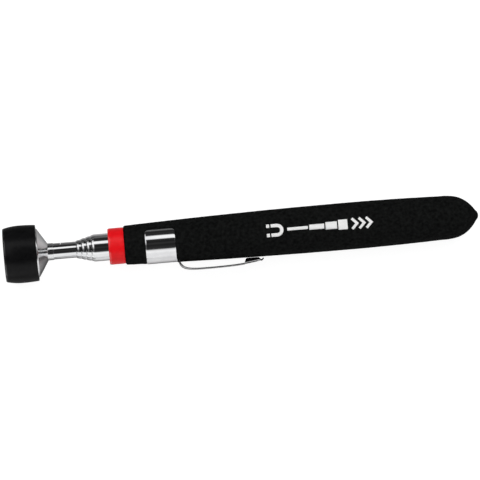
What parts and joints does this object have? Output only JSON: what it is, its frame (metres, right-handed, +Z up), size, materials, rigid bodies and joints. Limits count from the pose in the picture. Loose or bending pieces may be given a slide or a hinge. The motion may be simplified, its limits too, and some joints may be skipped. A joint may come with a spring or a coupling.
{
  "type": "magnetic pickup tool",
  "caption": "Telescoping pickup tool with a shielded magnet on a cone, nested chrome tubes, a red collar, a foam grip and a pocket clip.",
  "frame": {"origin": "centre of the magnet's flat face, on the tool's axis", "axes": "+X along the tool from the magnet to the tip of the grip, +Z up, the pocket clip on the -Y side"},
  "size_m": [0.206, 0.0257, 0.025],
  "materials": {
    "shield_plastic": "glossy black moulded plastic",
    "cup_steel": "zinc plated soft steel",
    "magnet_plating": "nickel plated sintered magnet",
    "spacer_resin": "black potting resin",
    "turned_steel": "turned steel with fine tool lines",
    "tube_chrome": "polished chrome plate",
    "spring_bronze": "phosphor bronze strip",
    "bush_brass": "turned brass",
    "plug_plastic": "black moulded plastic",
    "collar_plastic": "glossy bright red plastic",
    "grip_foam": "matt black closed-cell foam with a fine grain",
    "clip_chrome": "chrome plated spring steel"
  },
  "bodies": {
    "handle": {"handle_tube": "tube_chrome", "handle_end_plug": "plug_plastic", "front_collar": "collar_plastic", "grip_sleeve": "grip_foam", "clip_band": "clip_chrome"},
    "clip_tongue": {"clip_spring": "clip_chrome"},
    "section_5": {"tube_5": "tube_chrome", "friction_springs_5": "spring_bronze", "stop_bush_5": "bush_brass"},
    "section_4": {"tube_4": "tube_chrome", "friction_springs_4": "spring_bronze", "stop_bush_4": "bush_brass"},
    "section_3": {"tube_3": "tube_chrome", "friction_springs_3": "spring_bronze", "stop_bush_3": "bush_brass"},
    "section_2": {"tube_2": "tube_chrome", "friction_springs_2": "spring_bronze", "stop_bush_2": "bush_brass"},
    "rod_guide": {"friction_springs_1": "spring_bronze", "stop_bush_1": "bush_brass"},
    "rod": {"inner_rod": "tube_chrome", "magnet_housing": "turned_steel", "cup_rivet": "cup_steel", "pole_cup": "cup_steel", "spacer_ring": "spacer_resin", "magnet": "magnet_plating", "magnet_shield": "shield_plastic"}
  },
  "joints": [
    {"name": "tube_5_slide", "type": "slide", "parent": "handle", "child": "section_5", "axis": [-1, 0, 0], "range_m": [0, 0.125]},
    {"name": "tube_4_slide", "type": "slide", "parent": "section_5", "child": "section_4", "axis": [-1, 0, 0], "range_m": [0, 0.1295]},
    {"name": "tube_3_slide", "type": "slide", "parent": "section_4", "child": "section_3", "axis": [-1, 0, 0], "range_m": [0, 0.1277]},
    {"name": "tube_2_slide", "type": "slide", "parent": "section_3", "child": "section_2", "axis": [-1, 0, 0], "range_m": [0, 0.1259]},
    {"name": "rod_slide", "type": "slide", "parent": "section_2", "child": "rod_guide", "axis": [-1, 0, 0], "range_m": [0, 0.1241]},
    {"name": "rod_swivel", "type": "hinge", "parent": "rod_guide", "child": "rod", "pos_m": [0.161, 0, 0], "axis": [1, 0, 0], "continuous": true},
    {"name": "clip_flex", "type": "hinge", "parent": "handle", "child": "clip_tongue", "pos_m": [0.0748, -0.0088, 0], "axis": [0, 0, -1], "range_deg": [0, 6], "stiffness_Nm_per_rad": 1.8}
  ]
}
